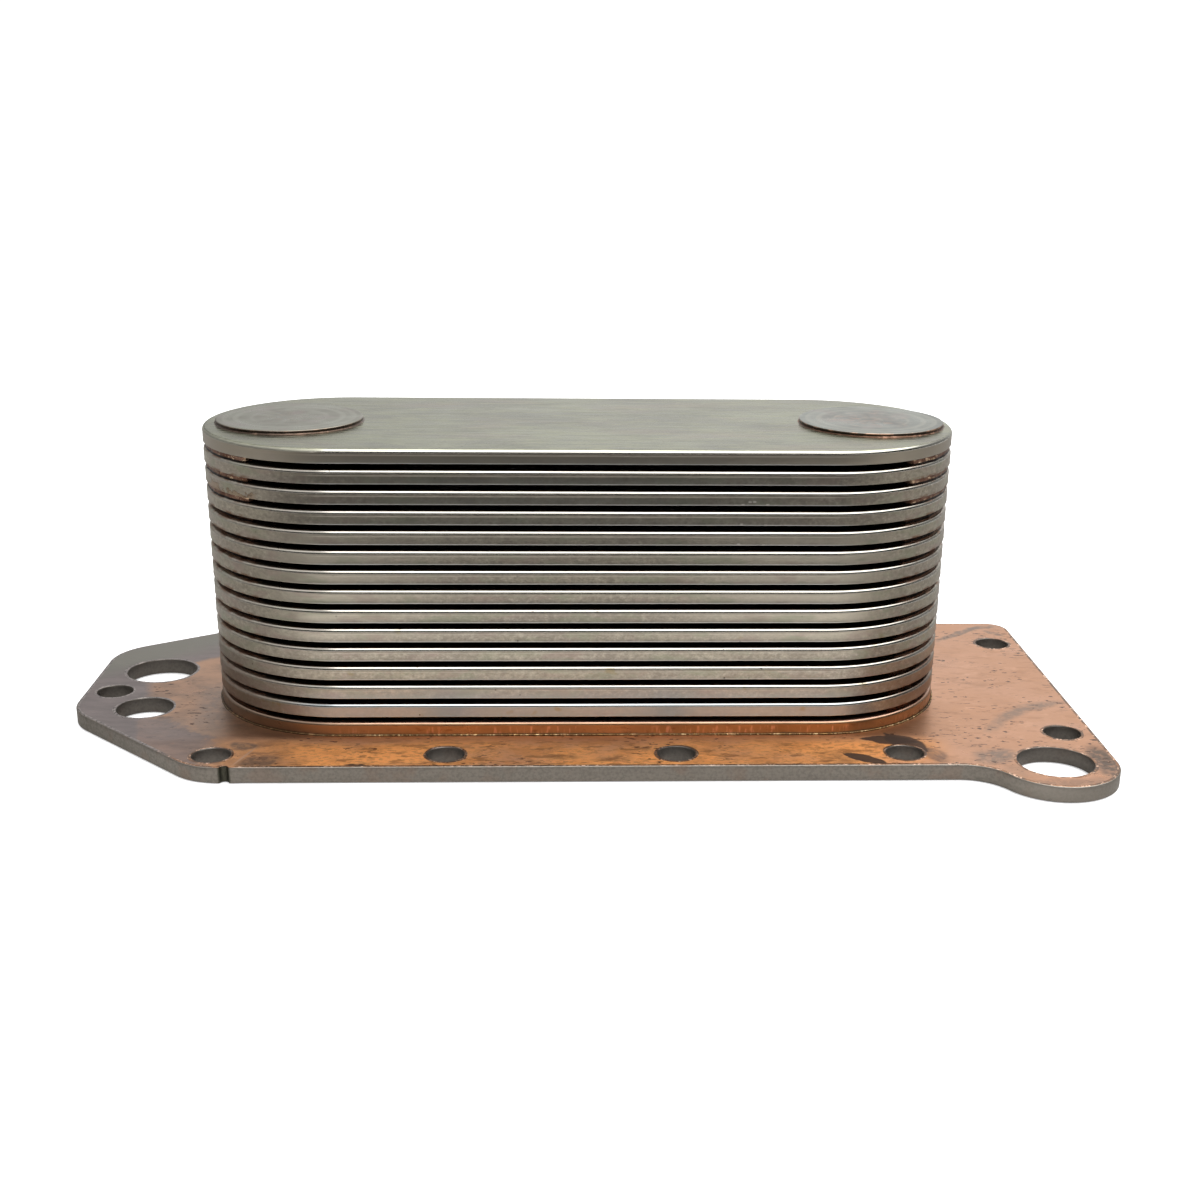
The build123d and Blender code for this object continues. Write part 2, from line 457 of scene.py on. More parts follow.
def element_steel():
    """Satin stainless steel of the lids: heat tint, burnished bends with a painted highlight, painted
    reflections on the faces, pits and braze stains.
    """
    g = Surface("element_steel")
    level, drop = lid_heights(g)
    patches = g.noise(14, stretch=(1.6, 1, 0.6))
    streaks = g.noise(0.35, detail=2, stretch=(22, 1, 0.8), shift=3)
    g.colour = g.mix((patches, 0.35, 0.7), STEEL, STEEL_VIOLET)
    mottle = g.noise(2.6, rough=0.6, stretch=(1.5, 1, 0.7), shift=27)
    fine = g.noise(1, detail=4, rough=0.75, stretch=(1.2, 1.2, 0.8), shift=61)
    g.paint(STEEL_DARK, (streaks, 0.4, 0.75), 0.06)
    g.paint(STEEL_DARK, (mottle, 0.45, 0.75), 0.14)
    g.paint(STEEL_DARK, (fine, 0.48, 0.6), 0.6)
    g.paint((0.66, 0.61, 0.51), (fine, 0.46, 0.36), 0.5)
    # painted reflection: lighter faces on either side of the painted darker middle of the upper elements
    clean = g.times((g.away(g.x, -6), 15, 60), (g.away(g.x), 78, 64), (g.z, 58, 51), (g.z, 24, 34))
    g.paint((0.66, 0.6, 0.495), clean, 0.8)
    g.paint((0.36, 0.38, 0.27), (g.noise(7, stretch=(1.6, 1, 0.5), shift=73), 0.5, 0.66), 0.5)
    g.paint((0.43, 0.33, 0.29), (g.noise(6, stretch=(1.5, 1, 0.5), shift=91), 0.52, 0.66), 0.45)
    burnish_and_highlight = burnish_and_highlight_span(g, -90)
    lid_wear_and_painted_light(g, level, drop, burnish_and_highlight)
    # a few pale specks of spatter on the upper elements
    for number, speck_x, up in SPECKS:
        speck_z = (first_low.z + (number - 1) * PITCH) / MM + up
        in_speck = g.times((g.away(g.x, speck_x), 0.55, 0.2), (g.away(g.z, speck_z), 0.32, 0.1))
        g.paint((0.85, 0.82, 0.76), in_speck, (g.y, -30, -32), 0.75)
    # bluer steel on the lowest elements
    g.paint((0.46, 0.53, 0.57), (g.z, 18, 11), (g.away(g.x), 76, 60), 0.7)
    # yellow heat spots and dark pits, mostly on the lower elements
    low = g.band(g.z, 50, 15)
    g.paint((0.36, 0.29, 0.14), (g.noise(5, detail=2, shift=31), 0.66, 0.74), low, 0.5)
    pits = g.dots(3.1, 0.1, 0.35, shift=5)
    g.paint((0.08, 0.07, 0.06), pits, g.most(low, 0.35), 0.8)
    # braze creeping out of the gaps at both ends
    end = g.band(g.away(g.x), 74, 80)
    edge = g.most((level, 0.75, 0.15), (drop, 0.55, 0.1))
    creep = g.band(g.noise(2.2, stretch=(1.5, 1.5, 0.6), shift=9), 0.42, 0.62)
    g.paint((0.24, 0.13, 0.08), end, edge, creep, 0.8, (g.z, STACK_TOP / MM - 0.6, STACK_TOP / MM - 1.2))
    # braze that climbed the left end of the third element from the top
    smear_z = (top_low.z - 2 * PITCH) / MM
    climb = g.math("MULTIPLY_ADD", g.noise(2.6, rough=0.6, stretch=(1.4, 1.4, 1), shift=14), 6, -2)
    above = g.minus(level, climb)
    on_patch = g.times((g.x, -75.5, -77.5), (g.y, -4, -9), (g.z, smear_z - 0.3, smear_z - 0.1),
                       (g.z, smear_z + 3.1, smear_z + 2.6))
    g.paint((0.4, 0.29, 0.195), (above, 0.1, -0.15), on_patch, 0.75)
    g.paint((0.17, 0.11, 0.075), (g.away(above), 0.22, 0.08), on_patch, 0.6)
    # brown stain on both ends of the lowest elements
    brown = g.times((g.x, 60, 88), (g.z, 26, 12), (patches, 0.2, 0.55))
    brown = g.most(brown, g.times((g.x, -62, -86), (g.z, 30, 12), 0.9))
    g.paint((0.24, 0.165, 0.125), brown, 0.75)
    bend = g.band(drop, 0.95, 0.6)
    rough = g.plus((mottle, 0.2, 0.8, 0.28, 0.35), (g.z, 26, 10, 0, 0.14), g.times(bend, 0.18))
    rough = g.mix(g.times(bend, burnish_and_highlight), rough, g.band(patches, 0.3, 0.7, 0.1, 0.16))
    rough = g.most(rough, g.times(creep, end, edge, 0.45))
    height = g.plus(g.times(fine, 0.5), g.times(mottle, 0.8), g.times(pits, -1.5))
    return g.finish(rough, height, height_mm=0.008, strength=0.8)


def top_steel():
    """Top element: long rolling streaks, cloudy green-grey and pinkish patches."""
    g = Surface("top_steel")
    clouds = g.noise(22, detail=4, rough=0.6, stretch=(1.8, 1, 1), shift=2)
    pink = g.noise(16, stretch=(2, 0.8, 1), shift=21)
    streaks = g.noise(1.5, detail=4, rough=0.6, stretch=(14, 1, 1), shift=4)
    fine = g.noise(0.22, detail=2, stretch=(18, 1, 1), shift=6)
    g.colour = g.mix((clouds, 0.38, 0.66), (0.3, 0.305, 0.208), (0.205, 0.2, 0.145))
    g.paint((0.27, 0.225, 0.175), (pink, 0.5, 0.7), 0.6)
    g.paint((0.165, 0.17, 0.125), (streaks, 0.46, 0.7), 0.6)
    g.paint((0.4, 0.4, 0.325), (fine, 0.45, 0.8), 0.25)
    scratches = g.noise(1.3, rough=0.7, stretch=(6, 1, 1), shift=88)
    g.paint((0.4, 0.4, 0.29), (scratches, 0.53, 0.62), 0.4)
    g.paint((0.145, 0.145, 0.105), (scratches, 0.47, 0.38), 0.35)
    level, drop = lid_heights(g)
    side = g.band(drop, 0.45, 0.8)
    face = g.mix((clouds, 0.3, 0.7), (0.54, 0.48, 0.385), (0.5, 0.435, 0.365))
    # painted shade: the top element's side darker towards the rounded ends
    face = g.mix(g.times((g.away(g.x), 68, 82), 0.6), face, (0.33, 0.295, 0.24))
    g.paint(face, side)
    flat_colour = g.colour
    burnish_and_highlight = burnish_and_highlight_span(g, -62)
    lid_wear_and_painted_light(g, level, drop, burnish_and_highlight)
    g.paint(flat_colour, (drop, 0.15, 0.1))
    rough = g.plus((streaks, 0.25, 0.75, 0.2, 0.29), (scratches, 0.4, 0.62, 0, 0.1))
    rough = g.mix(side, rough, g.band(fine, 0.2, 0.8, 0.28, 0.34))
    bend = g.times((drop, 0.95, 0.6), (drop, 0.09, 0.15))
    rough = g.plus(rough, g.times(bend, 0.18))
    rough = g.mix(g.times(bend, burnish_and_highlight), rough, g.band(fine, 0.3, 0.7, 0.11, 0.15))
    height = g.plus(g.times(streaks, 0.5), g.times(scratches, 0.5))
    return g.finish(rough, height, height_mm=0.013)


def disc_steel(name, centre_x, pale, dull, copper):
    """End disc: faced on a lathe, with a wetted edge; copper says how much braze shows on it."""
    g = Surface(name)
    clouds = g.noise(9, detail=4, rough=0.6, shift=2 + copper)
    from_centre = g.add("ShaderNodeCombineXYZ")
    g.feed(g.length(g.minus(g.x, centre_x), g.y), from_centre.inputs[0])
    turned = g.noise(0.45, detail=2, shift=8, place=from_centre.outputs[0])
    rings = g.noise(2.6, detail=2, shift=19, place=from_centre.outputs[0])
    g.colour = g.mix((clouds, 0.35, 0.68), pale, dull)
    g.paint((0.36, 0.355, 0.295), (rings, 0.45, 0.62), 0.6)
    g.paint((0.22, 0.21, 0.18), (turned, 0.5, 0.8), 0.3)
    g.paint((0.3, 0.255, 0.225), (g.noise(6, shift=13), 0.52, 0.66), 0.5)
    top = disc_high.z / MM
    edge = g.band(g.z, top - 0.04, top - 0.13)
    patches = g.band(g.noise(2.2, shift=5), 0.45, 0.58)
    wet = g.mix(g.times(patches, copper), (0.13, 0.1, 0.085), (0.46, 0.27, 0.19))
    g.paint(g.mix((g.z, top - 0.3, top - 0.55), wet, (0.06, 0.04, 0.032)), edge)
    height = g.plus(g.times(turned, 0.7), g.times(clouds, 0.5))
    return g.finish((clouds, 0.3, 0.7, 0.26, 0.36), height, height_mm=0.018)


def copper_lid():
    """Lowest element: steel wetted all over by copper, with drips of darker and paler braze."""
    g = Surface("copper_lid")
    level, drop = lid_heights(g)
    clouds = g.noise(9, stretch=(2, 1, 0.7), shift=1)
    drips = g.noise(0.8, detail=2, stretch=(1, 1, 5), shift=6)
    g.colour = g.mix((clouds, 0.3, 0.7), (0.385, 0.235, 0.13), (0.3, 0.178, 0.092))
    pale = g.times((drips, 0.5, 0.68), (level, 0.2, 0.8), (level, 2.6, 1.9),
                   (g.noise(16, detail=1, shift=33), 0.42, 0.6))
    g.paint((0.66, 0.38, 0.26), pale, 0.75)
    g.paint((0.2, 0.1, 0.05), (g.noise(1.7, stretch=(2, 1, 1), shift=17), 0.6, 0.7), 0.6)
    g.paint((0.17, 0.1, 0.055), (level, 0.55, 0.1))
    # painted highlight: paler copper along the top and its bend
    g.paint((0.72, 0.46, 0.36), (drop, 0.5, 0.2), 0.6)
    g.paint((0.25, 0.19, 0.145), (g.x, -42, -78), 0.75)
    height = g.plus(g.times(drips, 0.5), g.noise(1.4, shift=4))
    return g.finish((clouds, 0.3, 0.7, 0.24, 0.4), height, height_mm=0.03)


def braze(name, bright):
    """Copper braze in the gaps: brown skin, brighter where each pad begins, with bright flecks."""
    g = Surface(name)
    drop = lid_heights(g)[1]
    from_middle = g.away(g.x)
    skin = g.mix((g.noise(1.8, shift=2), 0.35, 0.65), BRAZE_BROWN, (0.23, 0.12, 0.078))
    start = g.times((from_middle, 85, 79.5), (g.noise(2.4, detail=2, shift=15), 0.36, 0.6))
    g.colour = g.mix(g.times(start, 0.7), skin, (0.4, 0.235, 0.175))
    flecks = g.band(g.noise(0.9, rough=0.6, stretch=(2, 2, 0.8), shift=8), 0.6 - 0.06 * bright, 0.68)
    facing_front = g.times((g.y, -14, -24), (g.z, 56, 62))
    g.paint(COPPER_BRIGHT, flecks, g.most(g.times(facing_front, bright), 0.2))
    # painted shade: near black in the crevice along the foot of each pad and on its recessed part towards
    # the middle of the stack
    dark = g.most((from_middle, 78.6, 76.6), g.times((drop, -0.5, -0.32), 0.95))
    g.paint((0.01, 0.008, 0.007), dark)
    height = g.noise(0.6, detail=4, rough=0.6, shift=5)
    return g.finish((flecks, 0, 1, 0.42, 0.24), height, height_mm=0.08)


def braze_fillet(name, skin, clean, share):
    """Narrow bead of braze; share says how much of it stayed clean."""
    g = Surface(name)
    grain = g.noise(1.4, rough=0.6, shift=8)
    patches = g.noise(5, detail=2, shift=21)
    shows = g.times((grain, 0.45, 0.62), (patches, 0.62 - 0.3 * share, 0.75 - 0.3 * share))
    g.colour = g.mix(shows, skin, clean)
    return g.finish((grain, 0.3, 0.7, 0.3, 0.45), grain, height_mm=0.06)


def gap_painted_shade():
    """Inside faces of pans and turbulators: almost black, a painted shade for the deep gaps between the
    elements.
    """
    g = Surface("inner_steel", metallic=0.6)
    clouds = g.noise(6)
    g.colour = g.mix((clouds, 0.35, 0.7), (0.035, 0.026, 0.022), (0.08, 0.048, 0.034))
    return g.finish((clouds, 0.3, 0.7, 0.5, 0.7), g.noise(1), height_mm=0.03, strength=1)


def turbulator_steel():
    """Thin strip with a copper flash."""
    g = Surface("turbulator_steel")
    clouds = g.noise(5, shift=4)
    g.colour = g.mix((clouds, 0.35, 0.65), (0.3, 0.26, 0.23), (0.5, 0.29, 0.19))
    return g.finish((clouds, 0.3, 0.7, 0.3, 0.5), g.noise(0.8), strength=1)


# Stains on the plate: x, y, length, width, angle (mm and degrees), softness, strength, colour
DARK_VIOLET = (0.075, 0.05, 0.04)
GREY_SMEAR = (0.22, 0.165, 0.13)
DARK_BROWN = (0.15, 0.085, 0.05)
STAINS = (
    (84.8, -47.5, 5, 9, 10, 0.35, 0.7, (0.13, 0.095, 0.08)),
    (-80.9, -40.5, 8, 4.2, -8, 0.35, 0.8, (0.15, 0.115, 0.095)),
    (-104, -21.8, 4, 2, 5, 0.35, 0.75, (0.14, 0.11, 0.1)),
    (-75.5, -50, 10, 7, 30, 0.3, 0.85, (0.16, 0.105, 0.075)),
    (-53, -52.5, 5.4, 2, 0, 0.2, 0.92, (0.07, 0.05, 0.04)),
    (-4.6, -48, 7, 3, -4, 0.6, 0.6, DARK_BROWN),
    (7.3, -49.2, 8, 2.6, 3, 0.6, 0.5, DARK_BROWN),
    (60.5, -49, 10, 7, -40, 0.7, 0.5, DARK_BROWN),
    (99, -48.5, 11, 8, 30, 0.5, 0.9, GREY_SMEAR),
    (104, -28.5, 9, 3.5, 55, 0.6, 0.6, GREY_SMEAR),
    (110, -21, 12, 4, 42, 0.6, 0.8, GREY_SMEAR),
    (118.5, -15, 14, 4, 22, 0.6, 0.8, GREY_SMEAR),
    (112, 44.7, 21, 2.6, 41, 0.4, 0.9, GREY_SMEAR),
    (120, 50.2, 9, 2.4, 15, 0.4, 0.8, GREY_SMEAR),
    (122.4, 44.8, 7, 2.2, -45, 0.4, 0.8, GREY_SMEAR),
    (124.5, -52.5, 7, 20, 0, 0.4, 1, (0.14, 0.1, 0.075)),
    (112.5, -64.6, 26, 5, 3, 0.5, 0.75, (0.27, 0.165, 0.115)),
    (103, -57, 7, 9, 30, 0.5, 0.5, (0.3, 0.2, 0.145)),
    (-92, -14, 10, 30, 8, 0.6, 0.7, (0.22, 0.185, 0.165)),
    (-97, -30, 18, 16, -35, 0.6, 0.6, (0.26, 0.205, 0.17)),
)
LEAF_STAINS = (
    (75.2, -38, 14, 5.5, -10, 0.14, 0.95, DARK_VIOLET),
    (79.2, -39.8, 15, 7.5, -56, 0.14, 0.95, DARK_VIOLET),
    (67.2, -49.3, 12, 4.2, -37, 0.14, 0.95, DARK_VIOLET),
)


def plate_copper():
    """Top of the mounting plate: copper braze skin over steel, bare at the left end, stained."""
    g = Surface("plate_copper")
    rough_edge = g.warped(3, 2.4, shift=11)
    clouds = g.noise(18, detail=4, rough=0.55, stretch=(1.4, 1, 1), shift=5)
    grain = g.noise(2, detail=4, rough=0.6, stretch=(2.6, 1, 1), shift=9)
    blotches = g.noise(5.5, detail=4, rough=0.65, stretch=(1.5, 1, 1), shift=35)
    g.colour = g.mix((clouds, 0.36, 0.64), COPPER, (0.52, 0.28, 0.165))
    g.paint((0.44, 0.235, 0.14), (blotches, 0.5, 0.7), 0.45)
    g.paint((0.74, 0.43, 0.285), (blotches, 0.42, 0.3), 0.35)
    # the strip in front of the stack is more orange and more mottled
    front = g.times((g.y, -34, -42), (g.x, 92, 78))
    g.paint(COPPER_ORANGE, front, (clouds, 0.25, 0.6), 0.85)
    g.paint((0.66, 0.29, 0.1), front, (blotches, 0.48, 0.62), 0.5)
    g.paint((0.27, 0.12, 0.05), (grain, 0.55, 0.63), g.most(g.times(front, 0.62), 0.22))
    speckle = g.band(g.noise(0.9, detail=4, rough=0.7, stretch=(1.8, 1, 1), shift=71), 0.5, 0.6)
    g.paint((0.5, 0.235, 0.095), speckle, g.most(g.times(front, 0.55), 0.15))
    g.paint(g.mix((blotches, 0.4, 0.62), (0.44, 0.275, 0.185), (0.28, 0.195, 0.145)), (g.x, -60, -92), 0.7)
    stain_any = 0
    broken = g.band(g.noise(2.4, detail=4, rough=0.65, shift=44), 0.36, 0.56, 0.55, 1)
    for stains, pointed in ((STAINS, False), (LEAF_STAINS, True)):
        for *outline, strength, tint in stains:
            mask = g.times(g.spot(*outline, rough_edge, pointed), strength, 1 if pointed else broken)
            g.paint(tint, mask)
            stain_any = g.most(stain_any, mask)
    # pale scratch across the front left corner
    g.paint((0.56, 0.36, 0.25), g.spot(-79.7, -46.8, 11, 0.7, 72, 0.3), 0.8)
    # dark dashes and pits in the braze
    dashes = g.band(g.noise(1.05, detail=2, stretch=(2, 0.9, 1), shift=23), 0.625, 0.65)
    where = g.most((g.noise(13, detail=1, shift=40), 0.46, 0.6), g.spot(97.5, -33, 16, 26, 15, 0.5))
    pits = g.most(g.times(dashes, where), g.times(g.dots(6.5, 0.1, 0.5, 2, rough_edge), 0.9))
    g.paint((0.085, 0.045, 0.028), pits, 0.95)
    # bare steel at the left end and along the back-left edge
    x, y, _ = g.split(g.warped(7, 5, shift=3))
    back_strip = g.minus(y, g.times(x, 0.93))
    bare = g.most((g.plus(x, g.times(y, 0.2)), -110, -115), (back_strip, 115.5, 119.5))
    # towards the front left edge the skin thins out in cloudy patches
    cloudy = g.times(g.minus(g.noise(4, detail=4, rough=0.65, shift=57), 0.5), 1.6)
    patchy = g.band(g.plus((g.plus(x, y), -118, -134), cloudy), 0.35, 0.75)
    bare = g.most(bare, g.times(patchy, (g.x, -84, -92), 0.8))
    steel = g.mix((grain, 0.35, 0.7), BARE_STEEL, (0.185, 0.158, 0.152))
    steel = g.mix((back_strip, 120, 135), steel, (0.2, 0.19, 0.165))
    g.paint(steel, bare)
    duller_front = g.times((g.y, -33, -38), (g.x, 92, 76), 0.27)
    rough = g.plus((clouds, 0.3, 0.7, 0.26, 0.38), duller_front, g.times(g.plus(bare, stain_any), 0.12))
    height = g.plus(g.times(grain, 0.5), g.times(g.noise(0.7, shift=15), 0.35), g.times(pits, -0.8))
    return g.finish(rough, height, height_mm=0.035, strength=0.75)


def plate_lip():
    """Rough braze on the rims of holes and along the front edge."""
    g = Surface("plate_lip")
    grain = g.noise(0.8, detail=4, rough=0.65, shift=3)
    patches = g.noise(4.5, detail=2, shift=13)
    g.colour = g.mix((patches, 0.38, 0.58), (0.3, 0.155, 0.085), (0.17, 0.105, 0.07))
    bright = g.band(g.noise(3, detail=2, shift=29), 0.47, 0.57)
    g.paint((0.8, 0.54, 0.39), (grain, 0.48, 0.6), bright)
    g.paint((0.12, 0.075, 0.05), (grain, 0.44, 0.34), 0.6)
    g.paint(g.mix((grain, 0.4, 0.6), (0.16, 0.14, 0.135), (0.34, 0.3, 0.28)), (g.x, -92, -104))
    return g.finish((grain, 0.3, 0.7, 0.25, 0.5), grain, height_mm=0.08)


def plate_edge(name, dark):
    """Sheared and blasted edge of the plate, with fine lines along it; dark puts painted shade in the
    bores.
    """
    g = Surface(name, metallic=0.9)
    lines = g.noise(0.28, stretch=(60, 60, 1), shift=4)
    speckle = g.noise(0.7, rough=0.6, shift=8)
    g.colour = g.mix((speckle, 0.38, 0.7), (0.238, 0.213, 0.184), (0.2, 0.18, 0.155))
    g.paint((0.16, 0.14, 0.125), (lines, 0.5, 0.75), 0.25)
    g.paint((0.24, 0.165, 0.125), (g.noise(6, shift=12), 0.52, 0.68), 0.35)
    g.paint((0.3, 0.27, 0.235), (g.x, 96, 108), (g.y, -40, -52), 0.8)
    notch = g.times((g.x, -85, -84.4), (g.x, -81.6, -82.2), (g.y, -51.6, -52.2))
    g.paint((0.045, 0.045, 0.03), notch, 0.9)
    # painted shade in the bores
    g.paint((0.11, 0.1, 0.092), dark)
    height = g.plus(speckle, g.times(lines, 0.8))
    return g.finish((speckle, 0.3, 0.7, 0.38, 0.55), height, height_mm=0.015, strength=0.6)


def plate_underside():
    """Ground sealing face with copper that crept round the oil ports."""
    g = Surface("plate_underside")
    ground = g.noise(0.3, detail=2, stretch=(1, 45, 1), shift=4)
    clouds = g.noise(20, detail=4, shift=9)
    g.colour = g.mix((clouds, 0.3, 0.7), (0.4, 0.385, 0.355), (0.31, 0.295, 0.275))
    g.paint((0.22, 0.205, 0.19), (ground, 0.5, 0.8), 0.35)
    ragged = g.warped(4, 3, shift=6)
    rings = [g.spot(side * PORT_X / MM, 0, 35, 35, 0, 0.1, ragged) for side in (-1, 1)]
    g.paint((0.55, 0.32, 0.21), g.most(*rings), 0.8)
    return g.finish((ground, 0.3, 0.7, 0.28, 0.42), ground, height_mm=0.01, strength=0.8)


# ---- pieces ----

def lid_profile(base_z, number, path, index):
    """Section of a lid at one point of its outline: flat top, bend, flange and rolled lip."""
    x, y = path.points[index]
    sway = 0.05 * ripple(x, y, base_z, 21, number) + 0.02 * ripple(x, y, base_z, 4.5, number + 40)
    lift = 0.007 * ripple(x, y, base_z, 33, number + 80)
    base = base_z / MM
    top = base + HEIGHT / MM
    inner_top = top - SHEET / MM
    bend = 0.87
    wall = []
    for angle in range(0, 91, 10):
        turned = math.radians(angle)
        wall.append((0.03 + bend * (1 - math.sin(turned)), top - bend * (1 - math.cos(turned)) + lift))
    wall += [(0.043, top - 1.08), (0.05, top - 1.35), (0.05, top - 2.1)]
    wall += [(0.055, base + 0.5), (0.045, base + 0.34), (0.005, base + 0.1), (0.02, base + 0.03),
             (0.08, base), (0.45, base), (0.6, base + 0.08)]
    section = [(3.2, top), (1.5, top + lift)]
    section += [(inset - min(sway, 0.06), z) for inset, z in wall]
    section += [(0.6, inner_top - 0.3), (0.69, inner_top - 0.09), (0.9, inner_top), (3.2, inner_top)]
    return np.array(section) * MM


def make_lid(number, material):
    """One pressed lid with its two ports, a closed sheet of even thickness."""
    node = f"element_{number:02d}_lid"
    base_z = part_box(node)[0].z
    top = base_z + HEIGHT
    path = Path(stadium(END_RADIUS), 1.4 * MM)
    b = Builder()
    rows = b.sweep(path, lambda i: lid_profile(base_z, number, path, i))
    ports = [b.tube((x, 0), ELEMENT_PORT_RADIUS, top, top - SHEET) for x in (-PORT_X, PORT_X)]
    b.cap(rows[0], [upper for upper, _ in ports], top_waves(top) if number == ELEMENT_COUNT else [])
    b.cap(rows[-1], [lower for _, lower in ports], facing=-1)
    b.make(f"lid_{number:02d}", [material], node)


def top_waves(top):
    """Points inside the top face, a few hundredths of a millimetre up and down."""
    points = []
    for x, y in staggered(3 * MM, range(-29, 30), range(-9, 10)):
        in_outline = math.hypot(max(abs(x) - END_X, 0), y) <= END_RADIUS - 5 * MM
        if in_outline and math.hypot(abs(x) - PORT_X, y) >= ELEMENT_PORT_RADIUS + 2 * MM:
            points.append((x, y, top + 0.03 * MM * ripple(x, y, 0, 14, 2)))
    return points


def spacer_outline(side):
    """Outline of a port spacer: the inset stadium cut by a circle about the port."""
    centre = (side * PORT_X, 0)
    points = [p for p in stadium(END_RADIUS - SPACER_INSET) if math.dist(p, centre) < SPACER_RADIUS]
    x, y = points[-1] if side > 0 else points[0]
    cut = math.degrees(math.atan2(y, x - centre[0]))
    ends = (cut, 360 - cut) if side > 0 else (-cut, cut)
    return points + arc(centre, SPACER_RADIUS, *ends)[1:-1]


FIRST_FLUSH_GAP = 12           # braze fills the upper gaps out to the rim
LAST_STARVED_GAP = 3           # and left the lowest ones open on the right


def make_spacers(side, material_flush, material_deep):
    """All the brazed pads round one port column, their outer fillets uneven from gap to gap."""
    path = Path(spacer_outline(side), 0.7 * MM)
    b = Builder()
    for gap in range(1, ELEMENT_COUNT):
        base = first_low.z + (gap - 1) * PITCH + HEIGHT
        flush = gap >= FIRST_FLUSH_GAP
        starved = side > 0 and gap <= LAST_STARVED_GAP

        def profile(i):
            x, y = path.points[i]
            at_end = smooth(abs(x), 76.5 * MM, 78.5 * MM)
            wave = ripple(x, y, base, 5, gap) + 0.5 * ripple(x, y, base, 1.6, gap + 50)
            inset = 1.2 + 0.2 * wave if starved else 0.22 * wave - (0.9 if flush else 0.25)
            inset = inset * at_end + (1 - at_end) * (1.6 + 0.2 * wave)
            lean = 0.0 if flush else 0.9 * at_end
            bulge = at_end * (0.35 if not flush else 0.105 if side > 0 else 0.175)
            shape = []
            for share in (0.0, 0.12, 0.3, 0.5, 0.7, 0.88, 1.0):
                hollow = bulge * (1 - (2 * share - 1) ** 2)
                grain = 0.07 * ripple(x, y, base + share * GAP, 0.9, gap + 9)
                shape.append(((inset + hollow + grain + lean * share) * MM, base + GAP * (1 - share)))
            return shape

        rows = b.sweep(path, profile, slots=[1 if flush else 0] * 6)
        upper, lower = b.tube((side * PORT_X, 0), ELEMENT_PORT_RADIUS, base + GAP, base)
        b.cap(rows[0], [upper])
        b.cap(rows[-1], [lower], facing=-1)
    name = "left" if side < 0 else "right"
    b.make(f"{name}_braze_pads", [material_deep, material_flush], f"{name}_port_spacers")


def smooth(value, low, high):
    share = min(max((value - low) / (high - low), 0.0), 1.0)
    return share * share * (3 - 2 * share)


def make_disc(side, material, seed):
    """End disc, slightly dished, with a broken edge."""
    node = f"{side}_end_disc"
    low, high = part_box(node)
    centre = ((low.x + high.x) / 2, 0.0)
    path = Path(circle(centre, DISC_RADIUS), 0.8 * MM)
    b = Builder()

    def profile(i):
        x, y = path.points[i]
        nick = 0.04 * ripple(x, y, 0, 3, seed)
        top = high.z / MM - 0.02 * (1 + ripple(x, y, 0, 7, seed + 3))
        base = low.z / MM
        section = [(15, top - 0.05), (9, top - 0.04), (3, top - 0.015), (0.6, top), (0.25 + nick, top),
                   (0.08 + nick, top - 0.05), (nick, top - 0.14), (0.04 + nick, top - 0.45),
                   (0.02, base + 0.3), (0, base), (9, base)]
        return np.array(section) * MM

    rows = b.sweep(path, profile)
    b.cap(rows[0])
    b.cap(rows[-1], facing=-1)
    b.make(f"{side}_disc", [material], node)


def make_fillet(name, path, base_z, height, reach, material, seed):
    """Concave bead of braze in the corner between an upright wall and a flat face."""
    b = Builder()

    def profile(i):
        x, y = path.points[i]
        grow = 1 + 0.3 * ripple(x, y, 0, 7, seed) + 0.22 * ripple(x, y, 0, 1.5, seed + 5)
        up, out = height * grow, reach * grow
        return [(0.12 * MM, base_z + up), (-0.02 * MM, base_z + up), (-0.16 * out, base_z + 0.52 * up),
                (-0.45 * out, base_z + 0.2 * up), (-0.8 * out, base_z + 0.06 * up),
                (-out, base_z + 0.005 * MM), (-out, base_z - 0.05 * MM), (0.12 * MM, base_z - 0.05 * MM)]

    b.sweep(path, profile, closed=True)
    b.make(name, [material], sharp=60)


def make_bead_row(name, path, z, radius, material, seed):
    """Row of small solidified beads where braze was squeezed out of a seam."""
    b = Builder()

    def profile(i):
        x, y = path.points[i]
        swell = ripple(x, y, 0, 0.5, seed) + 0.3 * ripple(x, y, 0, 9, seed + 2)
        r = radius * max(0.12, min(1.0, 0.35 + 1.6 * swell) * smooth(x, -66 * MM, -56 * MM))
        angles = np.linspace(0, 2 * math.pi, 9)[:-1]
        return [(r * math.cos(a) - 0.3 * r, z + r * math.sin(a)) for a in angles]

    b.sweep(path, profile, closed=True)
    b.make(name, [material], sharp=80)


def plate_outline():
    """Corners of the mounting plate, rounded, with the lobe blended into the front edge."""
    right, back, left = plate_high.x, plate_high.y, plate_low.x
    blend_y = PLATE_FRONT_Y - LOBE_BLEND_RADIUS
    reach = LOBE_RADIUS + LOBE_BLEND_RADIUS
    blend_x = LOBE_CENTRE[0] - math.sqrt(reach ** 2 - (LOBE_CENTRE[1] - blend_y) ** 2)
    meet = math.degrees(math.atan2(blend_y - LOBE_CENTRE[1], blend_x - LOBE_CENTRE[0]))
    points = arc((blend_x, blend_y), LOBE_BLEND_RADIUS, 90, meet + 180)
    points += arc(LOBE_CENTRE, LOBE_RADIUS, meet, 0)[1:]
    corners = [(right, 0), (right, back), (PLATE_TAPER_X, back), (left, PLATE_TAPER_BACK_Y),
               (left, PLATE_TAPER_FRONT_Y), (PLATE_TAPER_X, PLATE_FRONT_Y), (0, PLATE_FRONT_Y)]
    radii = [BACK_CORNER_RADIUS] + [TAPER_CORNER_RADIUS] * 4
    for before, corner, after, radius in zip(corners, corners[1:], corners[2:], radii):
        points += rounded_corner(before, corner, after, radius)
    return points + notch_points()


